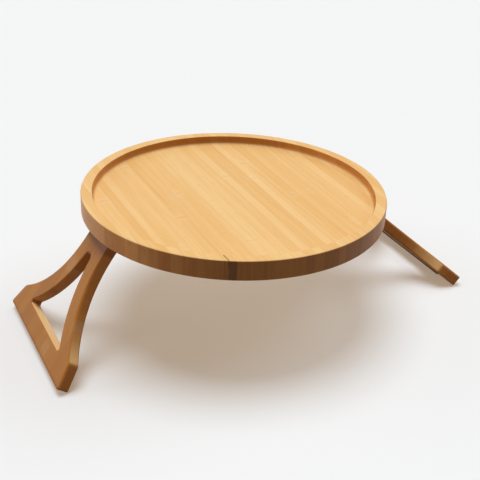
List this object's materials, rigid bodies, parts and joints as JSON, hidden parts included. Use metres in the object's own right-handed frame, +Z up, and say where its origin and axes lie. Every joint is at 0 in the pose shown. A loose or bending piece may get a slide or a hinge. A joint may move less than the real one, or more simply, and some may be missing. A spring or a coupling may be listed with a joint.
{
  "type": "sofa arm tray",
  "caption": "Round bamboo tray with a shallow dish and a flat rim, on splayed, folding bamboo legs with windows that lie against the sides of a sofa arm.",
  "frame": {"origin": "centre of the overall box, on the surface that the feet stand on", "axes": "+X from the left leg to the right leg, +Y along both hinge axes away from the front, +Z up"},
  "size_m": [0.4424, 0.3, 0.1337],
  "materials": {
    "bamboo_top": "laminated bamboo strips, clear satin lacquer",
    "bamboo_leg": "solid bamboo plate, clear satin lacquer, seen in shade",
    "bracket_steel": "zinc plated, satin",
    "fastener_steel": "zinc plated, yellow tint",
    "nylon": "natural nylon, matt",
    "silicone": "matt silicone"
  },
  "bodies": {
    "tray": {"tray_board": "bamboo_top", "underside_grip_strips": "silicone", "left_hinge_bracket": "bracket_steel", "right_hinge_bracket": "bracket_steel", "left_bracket_screws": "fastener_steel", "right_bracket_screws": "fastener_steel"},
    "left_leg": {"left_leg": "bamboo_leg", "left_hinge_bolt": "fastener_steel", "left_lock_nut": "fastener_steel", "left_seat_washers": "fastener_steel", "left_friction_washers": "nylon", "left_leg_grip": "silicone"},
    "right_leg": {"right_leg": "bamboo_leg", "right_hinge_bolt": "fastener_steel", "right_lock_nut": "fastener_steel", "right_seat_washers": "fastener_steel", "right_friction_washers": "nylon", "right_leg_grip": "silicone"}
  },
  "joints": [
    {"name": "left_leg_hinge", "type": "hinge", "parent": "tray", "child": "left_leg", "pos_m": [-0.13818, 0, 0.10588], "axis": [0, -1, 0], "range_deg": [-55.4, 124.6]},
    {"name": "right_leg_hinge", "type": "hinge", "parent": "tray", "child": "right_leg", "pos_m": [0.12349, 0, 0.09277], "axis": [0, 1, 0], "range_deg": [-40.5, 139.5]}
  ]
}
